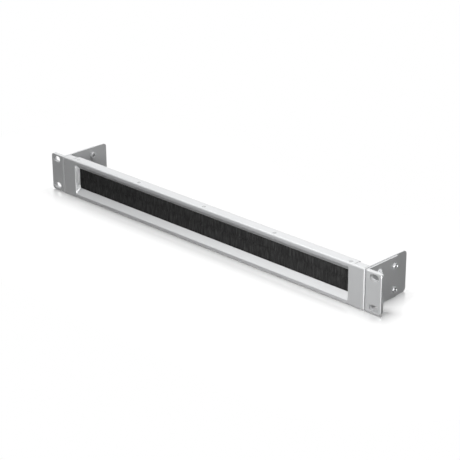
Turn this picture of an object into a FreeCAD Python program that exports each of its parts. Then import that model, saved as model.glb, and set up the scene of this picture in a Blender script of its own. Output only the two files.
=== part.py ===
"""Rack brush strip panel, one rack unit high, in millimetres.

A folded sheet panel carries two opposed brush strips behind a drawn, bevelled window.
Its side wings hold two L-shaped brackets, whose ears have the rack slots.

+X is to the right seen from the front, +Y is towards the back of the rack, +Z is up.
The origin is the centre of the rack slot pattern, on the back face of the ears, where the
panel meets the rack's rails. Everything is symmetric about X = 0, and all but the brushes'
meeting line is symmetric about Z = 0.
"""
import FreeCAD, Part
import math
import os

V = FreeCAD.Vector

# Rack standard: the slots that meet the rails' holes. The overall width comes to 482.6
slot_pitch_x = 465.1
slot_pitch_z = 31.75
slot_end_margin = 8.75
slot_length = 11.3
slot_width = 6.8

# Folded panel: face, top and bottom flanges and side wings are one sheet
panel_height = 43.65
sheet = 1.2
bend_radius = 0.4
flange_depth = 11.7
end_flange_depth = 9.3
end_flange_width = 14.8
relief_slit_width = 0.6
relief_slit_start = 3.2
corner_seam = 0.3
wing_depth = 63.0
wing_corner_radius = 4.0

# Drawn window in the face: a recess with four sloping sides round the brushes
window_side_margin = 20.2
window_edge_margin = 3.93
recess_depth = 5.9
recess_side_inset = 1.5
recess_edge_inset = 6.23
recess_front_corner = 1.3
recess_back_corner = 1.0
recess_front_radius = 0.8

# Ear brackets: a thick ear in front, a thinner leg along the wing
ear_width = 20.5
ear_setback = 0.5
ear_thickness = 4.0
ear_corner_radius = 3.0
bracket_edge_margin = 0.525
bracket_heel_radius = 3.0
bracket_root_radius = 1.0
bracket_edge_break = 0.4
leg_thickness = 2.0
leg_depth = 48.0
leg_corner_radius = 1.0

# Holes through leg and wing, in two rows: screws in front, open holes near the leg's end
side_hole_pitch_z = 24.8
screw_row = 20.0
open_hole_margin = 5.6
open_hole_leg = 6.3
open_hole_break = 0.4
open_hole_wing = 9.4

# Countersunk screws and the clinch nuts that take them
screw_diameter = 4.0
screw_length = 6.2
screw_head_diameter = 7.4
screw_head_depth = 1.75
screw_clearance = 0.2
screw_sink = 0.1
socket_across = 2.5
socket_depth = 1.2
nut_diameter = 7.0
nut_height = 2.2
nut_shank_diameter = 5.4
nut_fit = 0.04
thread_gap = 0.05

# Brush carriers: extrusions riveted inside the flanges, with a socket for a strip
carrier_end_gap = 1.5
carrier_leaf = 1.2
carrier_wall = 0.7
carrier_hook = 0.4
carrier_front_gap = 2.4
socket_mouth_reach = 6.0
strip_gap = 0.1

# Flush rivets through flange and carrier
rivet_count = 5
rivet_inset = 4.85
rivet_end_margin = 4.5
rivet_shank = 2.4
rivet_head = 4.2
rivet_head_sink = 0.12
rivet_rim_gap = 0.3
rivet_tail = 3.6
rivet_tail_height = 1.0
rivet_hole_gap = 0.05

# Brush strips: filaments folded over a core wire and held in a steel channel
channel_width = 2.6
channel_height = 5.2
channel_wall = 0.5
channel_inner_radius = 0.2
channel_end_gap = 0.5
filament_gap = 0.08
wire_diameter = 0.8
wire_gap = 0.03
root_grip = 4.2
clump_pitch = 4.0
clump_groove = 0.25
clump_sway = 0.07
clump_drift = 0.7
root_overlap = 0.3
meeting_height = 1.2
tip_notch = 0.5
tip_spread = 0.45
tip_thickness = 0.5
scarf_run = 4.0
scarf_gap = 0.3
lower_tip_overlap = 1.4

# How the clumps wander along a row: two waves of unlike length, added
main_wave_share = 0.6
main_wave_turn = 2.4
small_wave_turn = 5.3
upper_phase = 0.3
lower_phase = 2.0
far_face_phase = 1.0
tip_phase = 1.0

# How close two places count as one, and how far a cutter runs past what it cuts
touch = 1e-4
overcut = 1.0

# Places that several pieces share
front = -(ear_setback + ear_thickness)
ear_end = slot_pitch_x / 2 + slot_end_margin
half_width = ear_end - ear_width
panel_width = 2 * half_width
half_height = panel_height / 2
bracket_half = half_height - bracket_edge_margin
inner_width = half_width - sheet
flange_inside = half_height - sheet
outer_bend = bend_radius + sheet
half_middle = half_width - end_flange_width
recess_back = front + recess_depth
leg_outside = half_width + leg_thickness
open_row = leg_depth - open_hole_margin
carrier_half = half_middle - carrier_end_gap
carrier_front = front + carrier_front_gap
leaf_inside = flange_inside - carrier_leaf
rivet_y = front + rivet_inset
socket_front = rivet_y + rivet_tail / 2 + strip_gap
strip_front = socket_front + carrier_wall + strip_gap
strip_centre = strip_front + channel_width / 2
socket_back = strip_front + channel_width + strip_gap + carrier_wall
socket_mouth = leaf_inside - socket_mouth_reach
filament_half = channel_width / 2 - channel_wall - filament_gap
strip_half = carrier_half - channel_end_gap
root_top = leaf_inside - channel_wall - filament_gap
root_low = root_top - root_grip
wire_height = root_top - filament_half


def on_xy(z):
    """Places a flat outline's two numbers as x and y at height z."""
    return lambda a, b: V(a, b, z)


def on_xz(y):
    """Places a flat outline's two numbers as x and z at depth y."""
    return lambda a, b: V(a, y, b)


def on_yz(x):
    """Places a flat outline's two numbers as y and z at x."""
    return lambda a, b: V(x, a, b)


def outline(corners, place):
    """A closed wire through corners (a, b, radius), each rounded by its own radius."""
    points = [V(a, b, 0) for a, b, radius in corners]
    bends = []
    for i, (a, b, radius) in enumerate(corners):
        here = points[i]
        back = (points[i - 1] - here).normalize()
        ahead = (points[(i + 1) % len(points)] - here).normalize()
        half = back.getAngle(ahead) / 2
        if radius <= 0:
            bends.append((here, None, here))
            continue
        middle = (back + ahead).normalize()
        cut = radius / math.tan(half)
        crown = here + middle * (radius / math.sin(half) - radius)
        bends.append((here + back * cut, crown, here + ahead * cut))
    edges = []
    for i, (start, crown, end) in enumerate(bends):
        if crown is not None:
            arc = Part.Arc(place(start.x, start.y), place(crown.x, crown.y), place(end.x, end.y))
            edges.append(arc.toShape())
        after = bends[(i + 1) % len(bends)][0]
        if end.distanceToPoint(after) > touch:
            edges.append(Part.makeLine(place(end.x, end.y), place(after.x, after.y)))
    return Part.Wire(edges)


def prism(corners, place, run):
    """The outline of corners pulled along run."""
    return Part.Face(outline(corners, place)).extrude(run)


def rectangle(half_a, half_b, radius):
    """Corners of a rounded rectangle centred on zero."""
    return [(-half_a, -half_b, radius), (half_a, -half_b, radius),
            (half_a, half_b, radius), (-half_a, half_b, radius)]


def box(low, high):
    """A box between two corners."""
    return Part.makeBox(high[0] - low[0], high[1] - low[1], high[2] - low[2], V(*low))


def obround(x, y, z, length, width, run):
    """A slot cutter along X, pulled back by run from y."""
    corners = [(a + x, b + z, r) for a, b, r in rectangle(length / 2, width / 2, width / 2)]
    return prism(corners, on_xz(y), V(0, run, 0))


def mirrored_x(shape):
    """The same shape on the other side, left or right."""
    return shape.mirror(V(0, 0, 0), V(1, 0, 0))


def mirrored_z(shape):
    """The same shape above or below."""
    return shape.mirror(V(0, 0, 0), V(0, 0, 1))


def side_holes(row):
    """The y and z of the two holes in one row of the wing and the bracket's leg."""
    return [(front + row, level * side_hole_pitch_z / 2) for level in (-1, 1)]


def rivet_places():
    """The x of each rivet along a carrier."""
    reach = carrier_half - rivet_end_margin
    step = 2 * reach / (rivet_count - 1)
    return [-reach + i * step for i in range(rivet_count)]


def in_plane(edge, y):
    """Whether an edge lies in the upright plane at y, parallel to the face."""
    return abs(edge.BoundBox.YMin - y) < touch and abs(edge.BoundBox.YMax - y) < touch


def recess_block(wall):
    """The tapered block inside the recess, or with wall added, the block outside its skin."""
    grow_x = wall * math.hypot(1, recess_side_inset / recess_depth)
    grow_z = wall * math.hypot(1, recess_edge_inset / recess_depth)
    half_x = half_width - window_side_margin + grow_x
    half_z = half_height - window_edge_margin + grow_z
    face = rectangle(half_x, half_z, recess_front_corner + wall)
    back = rectangle(half_x - recess_side_inset, half_z - recess_edge_inset, recess_back_corner + wall)
    sections = [outline(face, on_xz(front)), outline(back, on_xz(recess_back))]
    return Part.makeLoft(sections, True, True)


def wrapped_sheet():
    """Face, wings and flanges before the recess, as one bent sheet with round bends."""
    wing_back = front + wing_depth
    plan = [(-half_width, wing_back, 0), (-half_width, front, outer_bend),
            (half_width, front, outer_bend), (half_width, wing_back, 0)]
    plan_inside = [(-inner_width, wing_back, 0), (-inner_width, front + sheet, bend_radius),
                   (inner_width, front + sheet, bend_radius), (inner_width, wing_back, 0)]
    side = [(wing_back, -half_height, 0), (front, -half_height, outer_bend),
            (front, half_height, outer_bend), (wing_back, half_height, 0)]
    side_inside = [(wing_back, -flange_inside, 0), (front + sheet, -flange_inside, bend_radius),
                   (front + sheet, flange_inside, bend_radius), (wing_back, flange_inside, 0)]
    tall = V(0, 0, panel_height)
    wide = V(panel_width, 0, 0)
    envelope = prism(plan, on_xy(-half_height), tall).common(prism(side, on_yz(-half_width), wide))
    hollow = prism(plan_inside, on_xy(-half_height), tall)
    hollow = hollow.common(prism(side_inside, on_yz(-half_width), wide))
    open_span = box((-inner_width, front + flange_depth, -half_height),
                    (inner_width, wing_back, half_height))
    return envelope.cut(hollow).cut(open_span)


def flange_cuts():
    """What is cut from the flanges: the shorter ends, the relief slits and the corner seams."""
    cuts = []
    end_back = front + end_flange_depth
    for side in (-1, 1):
        ends = sorted((side * half_middle, side * inner_width))
        cuts.append(box((ends[0], end_back, -half_height),
                        (ends[1], front + flange_depth, half_height)))
        slit = sorted((side * half_middle, side * (half_middle + relief_slit_width)))
        cuts.append(box((slit[0], front + relief_slit_start, -half_height),
                        (slit[1], end_back, half_height)))
        seam = sorted((side * inner_width, side * (inner_width - corner_seam)))
        cuts.append(box((seam[0], front + outer_bend, -half_height),
                        (seam[1], end_back, half_height)))
    return cuts


def wing_cuts():
    """The rounded rear corners of the wings, and their holes."""
    wing_back = front + wing_depth
    kept = [(front, -half_height, 0), (wing_back, -half_height, wing_corner_radius),
            (wing_back, half_height, wing_corner_radius), (front, half_height, 0)]
    whole = box((-half_width, front, -half_height), (half_width, wing_back, half_height))
    cuts = [whole.cut(prism(kept, on_yz(-half_width), V(panel_width, 0, 0)))]
    for row, diameter in ((open_row, open_hole_wing), (screw_row, nut_shank_diameter + nut_fit)):
        for y, z in side_holes(row):
            cuts.append(Part.makeCylinder(diameter / 2, panel_width, V(-half_width, y, z), V(1, 0, 0)))
    return cuts


def rivet_sinks():
    """The countersunk rivet holes through both flanges."""
    rim = rivet_head / 2 + rivet_rim_gap
    shank = rivet_shank / 2 + rivet_hole_gap
    cuts = []
    for x in rivet_places():
        for side in (-1, 1):
            away = V(0, 0, -side)
            start = V(x, rivet_y, side * half_height)
            cuts.append(Part.makeCone(rim, shank, sheet, start, away))
    return cuts


def front_panel():
    """The folded sheet with its drawn recess."""
    panel = wrapped_sheet()
    panel = panel.cut(flange_cuts() + wing_cuts() + rivet_sinks())
    opening = recess_block(0)
    skin = recess_block(sheet)
    panel = panel.cut(skin).fuse(skin.cut(opening)).removeSplitter()
    rim_x = half_width - window_side_margin + touch
    rim_z = half_height - window_edge_margin + touch
    rim = [edge for edge in panel.Edges
           if in_plane(edge, front) and edge.BoundBox.XMin > -rim_x and edge.BoundBox.XMax < rim_x
           and edge.BoundBox.ZMin > -rim_z and edge.BoundBox.ZMax < rim_z]
    return panel.makeFillet(recess_front_radius, rim)


def ear_bracket():
    """The right bracket: ear, rounded heel and leg, with rack slots and side holes."""
    ear_front = front + ear_setback
    ear_back = ear_front + ear_thickness
    plan = [(half_width, ear_front, bracket_heel_radius), (ear_end, ear_front, 0),
            (ear_end, ear_back, 0), (leg_outside, ear_back, bracket_root_radius),
            (leg_outside, front + leg_depth, 0), (half_width, front + leg_depth, 0)]
    bracket = prism(plan, on_xy(-bracket_half), V(0, 0, 2 * bracket_half))
    ends = [edge for edge in bracket.Edges if abs(abs(edge.CenterOfMass.z) - bracket_half) < touch]
    ear_corners = [edge for edge in ends if abs(edge.CenterOfMass.x - ear_end) < touch]
    bracket = bracket.makeFillet(ear_corner_radius, ear_corners)
    ends = [edge for edge in bracket.Edges if abs(abs(edge.CenterOfMass.z) - bracket_half) < touch]
    leg_corners = [edge for edge in ends if abs(edge.CenterOfMass.y - front - leg_depth) < touch]
    bracket = bracket.makeFillet(leg_corner_radius, leg_corners)
    cuts = []
    for z in (-slot_pitch_z / 2, slot_pitch_z / 2):
        cuts.append(obround(slot_pitch_x / 2, ear_front - overcut, z, slot_length, slot_width,
                            ear_thickness + 2 * overcut))
    bore = open_hole_leg / 2
    for y, z in side_holes(open_row):
        cuts.append(Part.makeCylinder(bore, leg_thickness, V(half_width, y, z), V(1, 0, 0)))
        cuts.append(Part.makeCone(bore + open_hole_break, bore, open_hole_break,
                                  V(leg_outside, y, z), V(-1, 0, 0)))
    hole = screw_diameter / 2 + screw_clearance
    head = screw_head_diameter / 2 + screw_clearance
    for y, z in side_holes(screw_row):
        cuts.append(Part.makeCylinder(hole, leg_thickness, V(half_width, y, z), V(1, 0, 0)))
        cuts.append(Part.makeCone(head, hole, screw_head_depth + screw_sink,
                                  V(leg_outside, y, z), V(-1, 0, 0)))
    bracket = bracket.cut(cuts)
    rim = [edge for edge in bracket.Edges
           if in_plane(edge, ear_front) and edge.BoundBox.XMax > ear_end - ear_corner_radius - touch]
    return bracket.makeChamfer(bracket_edge_break, rim)


def bracket_screws():
    """Two countersunk screws with hexagon sockets, on the right side."""
    screws = []
    top = leg_outside - screw_sink
    shank_radius = screw_diameter / 2 - thread_gap
    corner_reach = socket_across / math.sqrt(3)
    turns = [k * math.pi / 3 for k in range(6)]
    for y, z in side_holes(screw_row):
        start = V(top, y, z)
        inward = V(-1, 0, 0)
        head = Part.makeCone(screw_head_diameter / 2, shank_radius, screw_head_depth, start, inward)
        shank = Part.makeCylinder(shank_radius, screw_length, start, inward)
        points = [(y + corner_reach * math.cos(t), z + corner_reach * math.sin(t), 0) for t in turns]
        socket = prism(points, on_yz(top), inward * socket_depth)
        screws.append(head.fuse(shank).cut(socket).removeSplitter())
    return screws


def clinch_nuts():
    """Two round clinch nuts pressed into the right wing from inside."""
    nuts = []
    inward = V(-1, 0, 0)
    for y, z in side_holes(screw_row):
        collar = Part.makeCylinder(nut_diameter / 2, nut_height, V(inner_width, y, z), inward)
        shank = Part.makeCylinder(nut_shank_diameter / 2, sheet, V(half_width, y, z), inward)
        bore = Part.makeCylinder(screw_diameter / 2, sheet + nut_height, V(half_width, y, z), inward)
        nuts.append(collar.fuse(shank).cut(bore).removeSplitter())
    return nuts


def brush_carrier():
    """The upper carrier: a leaf under the flange and a hooked socket for the strip."""
    inside_front = socket_front + carrier_wall
    inside_back = socket_back - carrier_wall
    hook_top = socket_mouth + carrier_wall
    profile = [(carrier_front, flange_inside, 0), (carrier_front, leaf_inside, 0),
               (socket_front, leaf_inside, 0), (socket_front, socket_mouth, 0),
               (inside_front + carrier_hook, socket_mouth, 0), (inside_front + carrier_hook, hook_top, 0),
               (inside_front, hook_top, 0), (inside_front, leaf_inside, 0),
               (inside_back, leaf_inside, 0), (inside_back, hook_top, 0),
               (inside_back - carrier_hook, hook_top, 0), (inside_back - carrier_hook, socket_mouth, 0),
               (socket_back, socket_mouth, 0), (socket_back, flange_inside, 0)]
    carrier = prism(profile, on_yz(-carrier_half), V(2 * carrier_half, 0, 0))
    hole = rivet_shank / 2 + rivet_hole_gap
    holes = [Part.makeCylinder(hole, carrier_leaf, V(x, rivet_y, leaf_inside)) for x in rivet_places()]
    return carrier.cut(holes)


def flush_rivets():
    """The upper row of rivets: countersunk head, shank and formed tail."""
    rivets = []
    for x in rivet_places():
        top = V(x, rivet_y, half_height - rivet_head_sink)
        down = V(0, 0, -1)
        head = Part.makeCone(rivet_head / 2, rivet_shank / 2, sheet - rivet_head_sink, top, down)
        grip = sheet + carrier_leaf - rivet_head_sink
        shank = Part.makeCylinder(rivet_shank / 2, grip, top, down)
        tail = Part.makeCylinder(rivet_tail / 2, rivet_tail_height, V(x, rivet_y, leaf_inside), down)
        rivets.append(head.fuse([shank, tail]).removeSplitter())
    return rivets


def strip_channel():
    """The upper strip's folded steel channel, open downwards."""
    low = leaf_inside - channel_height
    wall = channel_wall
    back = strip_front + channel_width
    round_out = wall + channel_inner_radius
    outside = [(strip_front, low, 0), (strip_front, leaf_inside, round_out),
               (back, leaf_inside, round_out), (back, low, 0)]
    inside = [(back - wall, low, 0), (back - wall, leaf_inside - wall, channel_inner_radius),
              (strip_front + wall, leaf_inside - wall, channel_inner_radius), (strip_front + wall, low, 0)]
    return prism(outside + inside, on_yz(-strip_half), V(2 * strip_half, 0, 0))


def core_wire():
    """The wire that the upper strip's filaments are folded over."""
    start = V(-strip_half, strip_centre, wire_height)
    return Part.makeCylinder(wire_diameter / 2, 2 * strip_half, start, V(1, 0, 0))


def filament_root():
    """The folded, pressed part of the upper filaments inside the channel."""
    profile = [(strip_centre - filament_half, root_low, 0), (strip_centre + filament_half, root_low, 0),
               (strip_centre + filament_half, root_top, filament_half),
               (strip_centre - filament_half, root_top, filament_half)]
    root = prism(profile, on_yz(-strip_half), V(2 * strip_half, 0, 0))
    start = V(-strip_half, strip_centre, wire_height)
    bore = Part.makeCylinder(wire_diameter / 2 + wire_gap, 2 * strip_half, start, V(1, 0, 0))
    return root.cut(bore)


def scatter(i, phase):
    """A number from -1 to 1 that wanders from clump to clump."""
    main_wave = math.sin(main_wave_turn * i + phase)
    small_wave = math.sin(small_wave_turn * i + 2 * phase)
    return main_wave_share * main_wave + (1 - main_wave_share) * small_wave


def wavy_line(valley, crest, swing, phase):
    """Points from left to right along a strip: a valley between clumps, a crest on each."""
    count = round(2 * strip_half / clump_pitch)
    pitch = 2 * strip_half / count
    points = [(-strip_half, valley)]
    for i in range(count):
        left = -strip_half + i * pitch
        points.append((left + pitch / 2, crest + swing * scatter(i, phase)))
        drift = clump_drift * scatter(i, upper_phase) if i < count - 1 else 0
        points.append((left + pitch + drift, valley))
    return points


def filament_row(root_bar, side_view, root, tip_line, phase):
    """A row on its root bar: its side view, cut to clumps in plan and to uneven tips."""
    along = V(2 * strip_half, 0, 0)
    near = strip_centre - filament_half
    far = strip_centre + filament_half
    near_side = wavy_line(near + clump_groove, near, clump_sway, phase)
    far_side = wavy_line(far - clump_groove, far, clump_sway, phase + far_face_phase)
    plan = [(x, y, 0) for x, y in near_side + far_side[::-1]]
    elevation = [(x, z, 0) for x, z in tip_line + [(strip_half, root), (-strip_half, root)]]
    row = prism(side_view, on_yz(-strip_half), along)
    row = row.common(prism(plan, on_xy(-half_height), V(0, 0, panel_height)))
    row = row.common(prism(elevation, on_xz(near - overcut), V(0, channel_width + overcut, 0)))
    return root_bar.fuse(row).removeSplitter()


def scarf_slope():
    """How far the upper row's slanted back moves in y for each step up in z."""
    return (2 * filament_half - tip_thickness) / scarf_run


def scarf_face(height):
    """The y of the upper row's slanted back at a height."""
    return strip_centre - filament_half + tip_thickness + (height - meeting_height) * scarf_slope()


def upper_filaments():
    """The upper row: its clumps hang down in front."""
    root = root_low + root_overlap
    lowest = meeting_height - tip_spread
    near = strip_centre - filament_half - clump_sway
    far = strip_centre + filament_half + clump_sway
    side_view = [(near, root, 0), (near, lowest, 0), (scarf_face(lowest), lowest, 0),
                 (far, meeting_height + scarf_run + clump_sway / scarf_slope(), 0), (far, root, 0)]
    tips = wavy_line(meeting_height + tip_notch, meeting_height, tip_spread, upper_phase + tip_phase)
    return filament_row(filament_root(), side_view, root, tips, upper_phase)


def lower_filaments():
    """The lower row: its clumps stand up behind the upper row's tips."""
    root = -(root_low + root_overlap)
    tip = meeting_height + lower_tip_overlap
    highest = tip + tip_spread
    near = strip_centre - filament_half - clump_sway
    far = strip_centre + filament_half + clump_sway
    scarf_low = meeting_height - (tip_thickness + scarf_gap + clump_sway) / scarf_slope()
    side_view = [(near, root, 0), (near, scarf_low, 0), (scarf_face(highest) + scarf_gap, highest, 0),
                 (far, highest, 0), (far, root, 0)]
    tips = wavy_line(tip - tip_notch, tip, tip_spread, lower_phase + tip_phase)
    return filament_row(mirrored_z(filament_root()), side_view, root, tips, lower_phase)


def build():
    """Every node's name and shape."""
    nodes = {}
    nodes["front_panel"] = front_panel()
    nodes["right_ear_bracket"] = ear_bracket()
    nodes["right_bracket_screws"] = Part.makeCompound(bracket_screws())
    nodes["right_clinch_nuts"] = Part.makeCompound(clinch_nuts())
    for name in ("ear_bracket", "bracket_screws", "clinch_nuts"):
        nodes["left_" + name] = mirrored_x(nodes["right_" + name])
    nodes["upper_brush_carrier"] = brush_carrier()
    nodes["upper_rivets"] = Part.makeCompound(flush_rivets())
    nodes["upper_strip_channel"] = strip_channel()
    nodes["upper_core_wire"] = core_wire()
    for name in ("brush_carrier", "rivets", "strip_channel", "core_wire"):
        nodes["lower_" + name] = mirrored_z(nodes["upper_" + name])
    nodes["upper_filaments"] = upper_filaments()
    nodes["lower_filaments"] = lower_filaments()
    return nodes


def main():
    """Writes each node's shape to its own file."""
    os.makedirs("parts", exist_ok=True)
    for name, shape in build().items():
        solids = shape.Solids
        valid = shape.isValid()
        print(name, "solids", len(solids), "volume", round(shape.Volume, 1), "valid", valid)
        shape.exportStep(os.path.join("parts", name + ".step"))


main()
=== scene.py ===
import math
import random

import bmesh
import bpy
from mathutils import Matrix, Vector
from mathutils.bvhtree import BVHTree


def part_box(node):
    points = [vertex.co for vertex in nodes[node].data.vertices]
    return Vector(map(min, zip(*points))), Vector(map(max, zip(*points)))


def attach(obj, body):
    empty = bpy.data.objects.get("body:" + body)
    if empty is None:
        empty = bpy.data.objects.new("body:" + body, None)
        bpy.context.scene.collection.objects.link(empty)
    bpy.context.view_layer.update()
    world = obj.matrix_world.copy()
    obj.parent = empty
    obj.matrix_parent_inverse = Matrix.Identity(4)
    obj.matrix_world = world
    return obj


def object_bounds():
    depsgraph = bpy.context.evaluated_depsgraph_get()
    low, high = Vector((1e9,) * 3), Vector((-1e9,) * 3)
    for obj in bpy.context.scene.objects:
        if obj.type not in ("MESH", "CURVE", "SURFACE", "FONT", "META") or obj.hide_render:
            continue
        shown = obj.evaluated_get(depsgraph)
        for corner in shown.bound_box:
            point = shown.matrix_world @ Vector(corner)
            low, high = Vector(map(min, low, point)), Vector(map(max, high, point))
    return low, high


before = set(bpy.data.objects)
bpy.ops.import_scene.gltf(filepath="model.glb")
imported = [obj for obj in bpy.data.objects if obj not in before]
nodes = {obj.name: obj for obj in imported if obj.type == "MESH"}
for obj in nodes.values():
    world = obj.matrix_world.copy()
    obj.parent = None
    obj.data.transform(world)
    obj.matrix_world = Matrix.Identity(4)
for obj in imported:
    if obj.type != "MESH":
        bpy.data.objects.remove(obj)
cad_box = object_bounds()
MM = 0.001

# The camera stands where the photograph was taken from
CAMERA_PLACE = (1.0946, -1.0667, 0.6381)
CAMERA_AZIMUTH = 44.726
CAMERA_ELEVATION = 22.808
CAMERA_ROLL = -0.227
CAMERA_LENS = 124.74
CAMERA_SENSOR = 36.0

# Studio light: a wide softbox overhead, a smaller one over the front, a low one near the right end
# and one beside it, and two that only show as glints: a low strip to the right for the upright
# bends, and one high on the left for the lower bevel
MIDDLE = (0.0, 0.0, 0.0)
TOP_PLACE = (-0.20, 0.50, 1.5)
TOP_SIZE = (1.6, 1.1)
TOP_POWER = 22.5
FRONT_PLACE = (0.0, -0.30, 1.5)
FRONT_SIZE = (0.9, 0.5)
FRONT_POWER = 9.5
LOW_PLACE = (0.26, -0.36, 0.17)
LOW_AIM = (0.24, 0.0, 0.0)
LOW_SIZE = (0.12, 0.08)
LOW_POWER = 0.84
STRIP_PLACE = (0.95, -0.62, 0.02)
STRIP_SIZE = (0.5, 0.08)
STRIP_POWER = 85.0
SIDE_PLACE = (0.75, 0.12, 0.03)
SIDE_AIM = (0.22, 0.03, 0.0)
SIDE_SIZE = (0.10, 0.06)
SIDE_POWER = 0.16
BEVEL_PLACE = (-0.64, -0.47, 0.80)
BEVEL_AIM = (0.1, 0.0, 0.0)
BEVEL_SIZE = (0.5, 0.5)
BEVEL_POWER = 5.0
ROOM_STRENGTH = 0.08

# Where the panel stands on the floor, as rectangles: the bar in front, then the two wings with their legs
FLANGE_BACK = 7.6 * MM
WING_INSIDE = 219.5 * MM
WING_OUTSIDE = 221.3 * MM
LEFT_END, FRONT = cad_box[0][:2]
RIGHT_END, REAR = cad_box[1][:2]
FOOTPRINTS = (((LEFT_END, FRONT), (RIGHT_END, FLANGE_BACK)),
              ((-WING_OUTSIDE, 0.0), (-WING_INSIDE, REAR)),
              ((WING_INSIDE, 0.0), (WING_OUTSIDE, REAR)))

# The floor: glossy at the footprints, half as much at each fade further out, and plain white far away
FLOOR_REACH = 6.0
FLOOR_SHINE = 0.62
FLOOR_FADE = 6.5 * MM
FLOOR_WHITE_NEAR = 0.5
FLOOR_WHITE_FROM = 0.05
FLOOR_WHITE_OVER = 0.15
FLOOR_BOUNCE = 0.08

# Bristles: fine strands laid over both faces of each row
STRAND_PITCH = 0.42 * MM
STRAND_RADIUS = 0.17 * MM
STRAND_TIP = 0.55
STRAND_SIDES = 4
STRAND_RINGS = 4
STRAND_SINK = 0.05 * MM
STRAND_SCATTER = 0.3
STRAND_STRAY = 0.10 * MM
STRAND_LEAN = 0.36 * MM
STRAND_UNEVEN = 0.7 * MM

# Inserts: stepped tubes through the wide holes of the wings and the smaller ones of the legs
INSERT_ROW = 37.9 * MM
INSERT_PITCH = 24.8 * MM
INSERT_OUTER_END = 225.3 * MM
INSERT_SEAT = 221.25 * MM
INSERT_FLANGE = 220.0 * MM
INSERT_INNER_END = 217.2 * MM
INSERT_SHANK_RADIUS = 2.8 * MM
INSERT_FLANGE_RADIUS = 4.6 * MM
INSERT_NECK_RADIUS = 3.8 * MM
INSERT_BORE = 1.6 * MM
INSERT_BREAK = 0.35 * MM
INSERT_STEPS = 40


class Value:
    """A number on its way through a material, with the usual arithmetic."""

    def __init__(self, finish, socket):
        self.finish = finish
        self.socket = socket

    def _math(self, operation, first, second):
        return self.finish.node("ShaderNodeMath", {"operation": operation}, {0: first, 1: second})

    def __add__(self, other):
        return self._math("ADD", self, other)

    def __radd__(self, other):
        return self._math("ADD", other, self)

    def __mul__(self, other):
        return self._math("MULTIPLY", self, other)

    def __rmul__(self, other):
        return self._math("MULTIPLY", other, self)

    def __pow__(self, other):
        return self._math("POWER", self, other)

    def __rpow__(self, other):
        return self._math("POWER", other, self)


class Finish:
    """A material that is built node by node."""

    def __init__(self, owner):
        owner.use_nodes = True
        self.owner = owner
        self.tree = owner.node_tree
        self.tree.nodes.clear()

    def node(self, kind, settings=None, inputs=None, output=0):
        """Adds a node: settings first, then values or links on its sockets. Gives one output."""
        made = self.tree.nodes.new(kind)
        for name, value in (settings or {}).items():
            setattr(made, name, value)
        for name, value in (inputs or {}).items():
            if isinstance(value, Value):
                self.tree.links.new(value.socket, made.inputs[name])
            else:
                made.inputs[name].default_value = value
        return Value(self, made.outputs[output])

    def place(self, scale=(1, 1, 1)):
        """The point on the object, in metres, stretched by scale."""
        here = self.node("ShaderNodeTexCoord", output="Object")
        return self.node("ShaderNodeMapping", {}, {"Vector": here, "Scale": scale})

    def noise(self, size, detail=2.0, stretch=(1, 1, 1)):
        """Noise with features of about that size in metres, from 0 to 1."""
        point = self.place([s / size for s in stretch])
        return self.node("ShaderNodeTexNoise", {}, {"Vector": point, "Scale": 1.0, "Detail": detail})

    def blend(self, share, first, second):
        """A colour between two others."""
        inputs = {0: share, 6: first, 7: second}
        return self.node("ShaderNodeMix", {"data_type": "RGBA"}, inputs, output=2)

    def ray(self, kind):
        """1 for rays of that kind, 0 for the others."""
        return self.node("ShaderNodeLightPath", output=kind)

    def surface(self, shader, kind="ShaderNodeOutputMaterial"):
        """Ends the material, or the world, with a shader."""
        end = self.tree.nodes.new(kind)
        self.tree.links.new(shader.socket, end.inputs["Surface"])
        return self.owner


def finish(name):
    return Finish(bpy.data.materials.new(name))


def grey(level, warmth=0.0):
    """A near-neutral colour, cooler with a negative warmth."""
    return (level * (1 + warmth), level, level * (1 - warmth), 1)


def powder_coat():
    """Fine silver powder coat: satin, with a faint grain and soft edges."""
    coat = finish("silver_powder_coat")
    grain = coat.noise(0.45 * MM, 3.0)
    cloud = coat.noise(40 * MM, 2.0)
    colour = coat.blend(cloud, grey(0.60, -0.012), grey(0.63, -0.012))
    edge = coat.node("ShaderNodeBevel", {"samples": 6}, {"Radius": 0.25 * MM})
    bump = coat.node("ShaderNodeBump", {}, {
        "Strength": 0.12, "Distance": 0.05 * MM, "Height": grain, "Normal": edge})
    shader = coat.node("ShaderNodeBsdfPrincipled", {}, {
        "Base Color": colour, "Roughness": 0.34 + 0.08 * grain, "Normal": bump,
        "Specular IOR Level": 0.5, "Metallic": 0.05})
    return coat.surface(shader)


def rivet_paint():
    """The same silver on the rivet heads, rubbed to a gloss, and painted darker in patches as painted shade
    for the dark ring round each head.
    """
    paint = finish("rivet_silver")
    wear_and_shade = paint.noise(0.6 * MM, 2.0)
    # Painted shade: the heads' colour runs darker than the panel's silver, standing in for the shade round
    # each head
    colour = paint.blend(wear_and_shade, grey(0.44, -0.012), grey(0.60, -0.012))
    shader = paint.node("ShaderNodeBsdfPrincipled", {}, {
        "Base Color": colour, "Metallic": 0.4, "Roughness": 0.20 + 0.14 * wear_and_shade})
    return paint.surface(shader)


def zinc_plate():
    """Bright zinc plating with turned rings."""
    plate = finish("zinc_plate")
    rings = plate.noise(0.25 * MM, 2.0)
    colour = plate.blend(rings, grey(0.50, -0.02), grey(0.64, -0.01))
    shader = plate.node("ShaderNodeBsdfPrincipled", {}, {
        "Base Color": colour, "Metallic": 1.0, "Roughness": 0.28 + 0.14 * rings})
    return plate.surface(shader)


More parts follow.
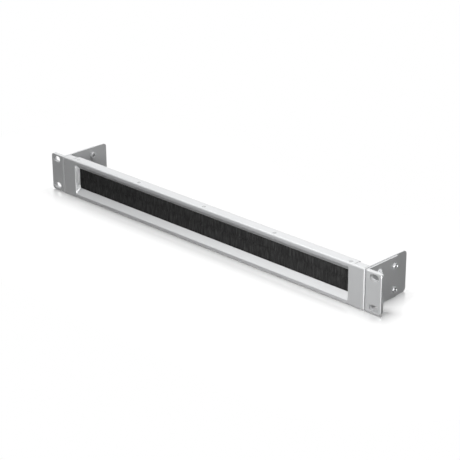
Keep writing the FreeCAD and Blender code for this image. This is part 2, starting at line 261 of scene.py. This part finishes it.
def drawn_aluminium():
    """Mill-finish extrusion with fine lines along its length."""
    metal = finish("mill_aluminium")
    lines = metal.noise(0.12 * MM, 3.0, stretch=(0.01, 1, 1))
    colour = metal.blend(lines, grey(0.56), grey(0.68))
    bump = metal.node("ShaderNodeBump", {}, {"Strength": 0.15, "Distance": 0.02 * MM, "Height": lines})
    shader = metal.node("ShaderNodeBsdfPrincipled", {}, {
        "Base Color": colour, "Metallic": 1.0, "Roughness": 0.34 + 0.12 * lines, "Normal": bump})
    return metal.surface(shader)


def galvanised():
    """Galvanised strip with a dull spangle."""
    metal = finish("galvanised_strip")
    point = metal.place((1 / (2.2 * MM),) * 3)
    spangle = metal.node("ShaderNodeTexVoronoi", {}, {"Vector": point, "Scale": 1.0}, output="Distance")
    colour = metal.blend(spangle, grey(0.42, -0.01), grey(0.55, -0.01))
    shader = metal.node("ShaderNodeBsdfPrincipled", {}, {
        "Base Color": colour, "Metallic": 1.0, "Roughness": 0.38 + 0.14 * spangle})
    return metal.surface(shader)


def black_nylon():
    """Black filaments: fine streaks down their length, in clumps a few millimetres wide."""
    nylon = finish("black_nylon")
    streak = nylon.noise(0.65 * MM, 2.0, stretch=(1, 1, 0.07))
    clump = nylon.noise(2.6 * MM, 2.0, stretch=(1, 0.2, 0.25))
    tone = (0.65 * streak + 0.35 * clump) ** 3.0
    colour = nylon.blend(tone, grey(0.008), grey(0.250))
    bump = nylon.node("ShaderNodeBump", {}, {"Strength": 0.35, "Distance": 0.1 * MM, "Height": streak})
    shader = nylon.node("ShaderNodeBsdfPrincipled", {}, {
        "Base Color": colour, "Roughness": 0.50 + 0.16 * streak, "Normal": bump,
        "Specular IOR Level": 0.03})
    return nylon.surface(shader)


def dress(material, *names):
    """Gives CAD nodes their material."""
    for name in names:
        slots = nodes[name].data.materials
        slots.clear()
        slots.append(material)


def new_piece(name, bm):
    """Makes a finished form into an object of the scene."""
    mesh = bpy.data.meshes.new(name)
    bm.to_mesh(mesh)
    bm.free()
    piece = bpy.data.objects.new(name, mesh)
    bpy.context.collection.objects.link(piece)
    return piece


def bundle(count):
    """Upright strands one metre high, side by side from the origin, one pitch apart."""
    bm = bmesh.new()
    stand = Matrix.Translation((STRAND_PITCH / 2, 0, 0.5))
    bmesh.ops.create_cone(bm, cap_ends=True, segments=STRAND_SIDES, radius1=STRAND_RADIUS,
                          radius2=STRAND_RADIUS * STRAND_TIP, depth=1, matrix=stand)
    upright = [e for e in bm.edges if abs(e.verts[0].co.z - e.verts[1].co.z) > 0.5]
    bmesh.ops.subdivide_edges(bm, edges=upright, cuts=STRAND_RINGS - 1)
    made = 1
    while made < count:
        more = min(made, count - made)
        kept = [v for v in bm.verts if v.co.x < more * STRAND_PITCH]
        chosen = set(kept)
        edges = [e for e in bm.edges if e.verts[0] in chosen]
        faces = [f for f in bm.faces if f.verts[0] in chosen]
        copy = bmesh.ops.duplicate(bm, geom=kept + edges + faces)["geom"]
        moved = [g for g in copy if isinstance(g, bmesh.types.BMVert)]
        bmesh.ops.translate(bm, verts=moved, vec=(made * STRAND_PITCH, 0, 0))
        made += more
    return bm


def strand_paths(row, side, root, tip, dice):
    """Where each strand of one face runs, from its root to its tip, laid on the row's surface."""
    low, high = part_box(row)
    solid = bmesh.new()
    solid.from_mesh(nodes[row].data)
    surface = BVHTree.FromBMesh(solid)
    solid.free()
    count = int((high[0] - low[0] - 2 * STRAND_PITCH) / STRAND_PITCH)
    paths = []
    for i in range(count):
        x = low[0] + (i + 1.5) * STRAND_PITCH + dice.uniform(-STRAND_SCATTER, STRAND_SCATTER) * STRAND_PITCH
        lean = dice.gauss(0, 1) * STRAND_LEAN
        end = tip + dice.uniform(-1, 1) * STRAND_UNEVEN
        stray = dice.uniform(0, 1) ** 3 * STRAND_STRAY - STRAND_SINK
        path = []
        for ring in range(STRAND_RINGS + 1):
            share = ring / STRAND_RINGS
            z = root + (end - root) * share
            here = x + lean * share ** 2
            here = min(max(here, low[0] + STRAND_RADIUS), high[0] - STRAND_RADIUS)
            start = Vector((here, (low[1] if side < 0 else high[1]) + side * MM, z))
            hit = surface.ray_cast(start, Vector((0, -side, 0)))[0]
            y = hit.y if hit is not None else path[-1].y
            path.append(Vector((here, y, z)))
        for point in path:
            point.y += side * stray
        paths.append(path)
    return paths


def strands(name, row, side, root, tip, seed):
    """Fine strands over one face of a row: side is -1 for its front and 1 for its back."""
    paths = strand_paths(row, side, root, tip, random.Random(seed))
    bm = bundle(len(paths))
    for v in bm.verts:
        i = min(int(v.co.x / STRAND_PITCH), len(paths) - 1)
        ring = round(v.co.z * STRAND_RINGS)
        v.co = paths[i][ring] + Vector((v.co.x - (i + 0.5) * STRAND_PITCH, v.co.y, 0))
    if tip < root:
        bmesh.ops.reverse_faces(bm, faces=bm.faces)
    return new_piece(name, bm)


def bristles(material):
    """Strands on both faces of both rows."""
    upper_low, upper_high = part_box("upper_filaments")
    lower_low, lower_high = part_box("lower_filaments")
    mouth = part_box("upper_brush_carrier")[0][2]
    spread = 0.5 * MM
    sets = (("upper_front_bristles", "upper_filaments", -1, mouth, upper_low[2] + spread, 1),
            ("upper_back_bristles", "upper_filaments", 1, mouth, upper_low[2] + spread, 2),
            ("lower_front_bristles", "lower_filaments", -1, -mouth, lower_high[2] - spread, 3),
            ("lower_back_bristles", "lower_filaments", 1, -mouth, lower_high[2] - spread, 4))
    for name, row, side, root, tip, seed in sets:
        piece = strands(name, row, side, root, tip, seed)
        piece.data.materials.append(material)
        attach(piece, "root")


def inserts(name, side):
    """The two tubes in one wing's wide holes: side is -1 for the left wing and 1 for the right."""
    outside = ((INSERT_SHANK_RADIUS - INSERT_BREAK, INSERT_OUTER_END),
               (INSERT_SHANK_RADIUS, INSERT_OUTER_END - INSERT_BREAK), (INSERT_SHANK_RADIUS, INSERT_SEAT),
               (INSERT_FLANGE_RADIUS, INSERT_SEAT), (INSERT_FLANGE_RADIUS, INSERT_FLANGE),
               (INSERT_NECK_RADIUS, INSERT_FLANGE), (INSERT_NECK_RADIUS, INSERT_INNER_END + INSERT_BREAK),
               (INSERT_NECK_RADIUS - INSERT_BREAK, INSERT_INNER_END))
    bore = ((INSERT_BORE + INSERT_BREAK, INSERT_INNER_END), (INSERT_BORE, INSERT_INNER_END + INSERT_BREAK),
            (INSERT_BORE, INSERT_OUTER_END - INSERT_BREAK), (INSERT_BORE + INSERT_BREAK, INSERT_OUTER_END))
    profile = outside + bore
    bm = bmesh.new()
    for height in (-INSERT_PITCH / 2, INSERT_PITCH / 2):
        centre = Vector((0, INSERT_ROW, height))
        loop = [bm.verts.new((side * x, INSERT_ROW, height + radius)) for radius, x in profile]
        edges = [bm.edges.new((loop[i - 1], loop[i])) for i in range(len(loop))]
        bmesh.ops.spin(bm, geom=loop + edges, cent=centre, axis=(1, 0, 0), angle=2 * math.pi,
                       steps=INSERT_STEPS, use_merge=True)
    bmesh.ops.recalc_face_normals(bm, faces=bm.faces)
    return new_piece(name, bm)


def fasteners(material):
    """The inserts of both wings."""
    for name, side in (("left_inserts", -1), ("right_inserts", 1)):
        piece = inserts(name, side)
        piece.data.materials.append(material)
        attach(piece, "root")


def away(paint, middle, half):
    """How far a point on the floor lies outside a rectangle, in metres."""
    point = paint.node("ShaderNodeTexCoord", output="Object")
    steps = (("SUBTRACT", middle), ("ABSOLUTE", None), ("SUBTRACT", half), ("MAXIMUM", (0, 0, 0)))
    for operation, other in steps:
        inputs = {0: point} if other is None else {0: point, 1: other}
        point = paint.node("ShaderNodeVectorMath", {"operation": operation}, inputs)
    return paint.node("ShaderNodeVectorMath", {"operation": "LENGTH"}, {0: point}, output="Value")


def floor_white():
    """White with a reflection that fades away from the panel, and dark in what it throws back on it."""
    white = finish("floor_white")
    seen = white.ray("Is Camera Ray") + white.ray("Is Glossy Ray")
    near = 1.0
    for low, high in FOOTPRINTS:
        middle = ((low[0] + high[0]) / 2, (low[1] + high[1]) / 2, 0)
        half = ((high[0] - low[0]) / 2, (high[1] - low[1]) / 2, 1)
        reach = away(white, middle, half)
        near = white.node("ShaderNodeMath", {"operation": "MINIMUM"}, {0: near, 1: reach})
    shine = FLOOR_SHINE * 0.5 ** (near * (1 / FLOOR_FADE))
    paint = white.node("ShaderNodeBsdfDiffuse", {}, {"Color": grey(0.95)})
    gloss = white.node("ShaderNodeBsdfGlossy", {}, {"Color": grey(1.0), "Roughness": 0.04})
    plain = white.node("ShaderNodeEmission", {}, {"Color": grey(1.0)})
    far = white.node("ShaderNodeMapRange", {}, {
        "Value": near, "From Min": FLOOR_WHITE_FROM, "From Max": FLOOR_WHITE_FROM + FLOOR_WHITE_OVER,
        "To Min": FLOOR_WHITE_NEAR})
    backdrop = white.node("ShaderNodeMixShader", {}, {0: far, 1: paint, 2: plain})
    shown = white.node("ShaderNodeMixShader", {}, {0: shine, 1: backdrop, 2: gloss})
    bounced = white.node("ShaderNodeBsdfDiffuse", {}, {"Color": grey(FLOOR_BOUNCE)})
    return white.surface(white.node("ShaderNodeMixShader", {}, {0: seen, 1: bounced, 2: shown}))


def studio_floor():
    """A pale glossy floor that goes white away from the panel and keeps its shadow."""
    level = cad_box[0][2]
    bm = bmesh.new()
    bmesh.ops.create_grid(bm, x_segments=1, y_segments=1, size=FLOOR_REACH,
                          matrix=Matrix.Translation((0, 0, level)))
    floor = new_piece("floor", bm)
    floor.data.materials.append(floor_white())


def area_light(name, place, aim, size, power, soft=True, glints=True):
    """A rectangular softbox that looks at a point; soft is its even light, glints its reflections."""
    light = bpy.data.lights.new(name, "AREA")
    light.shape = "RECTANGLE"
    light.size = size[0]
    light.size_y = size[1]
    light.energy = power
    lamp = bpy.data.objects.new(name, light)
    lamp.location = place
    lamp.rotation_euler = (Vector(aim) - Vector(place)).to_track_quat("-Z", "Y").to_euler()
    lamp.visible_camera = False
    lamp.visible_diffuse = soft
    lamp.visible_glossy = glints
    bpy.context.collection.objects.link(lamp)


def room():
    """A white room to look at, and a weaker one to light the panel."""
    world = Finish(bpy.data.worlds.new("studio"))
    mirrored = world.ray("Is Glossy Ray") + world.ray("Is Transmission Ray")
    shown = world.node("ShaderNodeMath", {"operation": "ADD", "use_clamp": True},
                       {0: world.ray("Is Camera Ray"), 1: mirrored})
    lighting = world.node("ShaderNodeBackground", {}, {"Color": grey(1.0), "Strength": ROOM_STRENGTH})
    white = world.node("ShaderNodeBackground", {}, {"Color": grey(1.0), "Strength": 1.0})
    mixed = world.node("ShaderNodeMixShader", {}, {0: shown, 1: lighting, 2: white})
    bpy.context.scene.world = world.surface(mixed, "ShaderNodeOutputWorld")


def camera():
    """The photograph's camera."""
    lens = bpy.data.cameras.new("camera")
    lens.sensor_fit = "HORIZONTAL"
    lens.sensor_width = CAMERA_SENSOR
    lens.lens = CAMERA_LENS
    lens.clip_start = 0.05
    lens.clip_end = 50
    eye = bpy.data.objects.new("camera", lens)
    turn = (Matrix.Rotation(math.radians(CAMERA_AZIMUTH), 4, "Z")
            @ Matrix.Rotation(math.radians(90 - CAMERA_ELEVATION), 4, "X")
            @ Matrix.Rotation(math.radians(CAMERA_ROLL), 4, "Z"))
    eye.matrix_world = Matrix.Translation(CAMERA_PLACE) @ turn
    bpy.context.collection.objects.link(eye)
    bpy.context.scene.camera = eye


camera()
bpy.context.scene.view_settings.view_transform = "Standard"
room()
area_light("top", TOP_PLACE, MIDDLE, TOP_SIZE, TOP_POWER)
area_light("front", FRONT_PLACE, MIDDLE, FRONT_SIZE, FRONT_POWER)
area_light("low", LOW_PLACE, LOW_AIM, LOW_SIZE, LOW_POWER, glints=False)
area_light("side", SIDE_PLACE, SIDE_AIM, SIDE_SIZE, SIDE_POWER, glints=False)
area_light("strip", STRIP_PLACE, MIDDLE, STRIP_SIZE, STRIP_POWER, soft=False)
area_light("bevel", BEVEL_PLACE, BEVEL_AIM, BEVEL_SIZE, BEVEL_POWER, soft=False)
studio_floor()

nylon = black_nylon()
silver = powder_coat()
dress(silver, "front_panel", "left_ear_bracket", "right_ear_bracket")
dress(rivet_paint(), "upper_rivets", "lower_rivets")
dress(zinc_plate(), "left_bracket_screws", "right_bracket_screws", "left_clinch_nuts", "right_clinch_nuts")
fasteners(silver)
dress(drawn_aluminium(), "upper_brush_carrier", "lower_brush_carrier")
dress(galvanised(), "upper_strip_channel", "lower_strip_channel", "upper_core_wire", "lower_core_wire")
dress(nylon, "upper_filaments", "lower_filaments")
bristles(nylon)
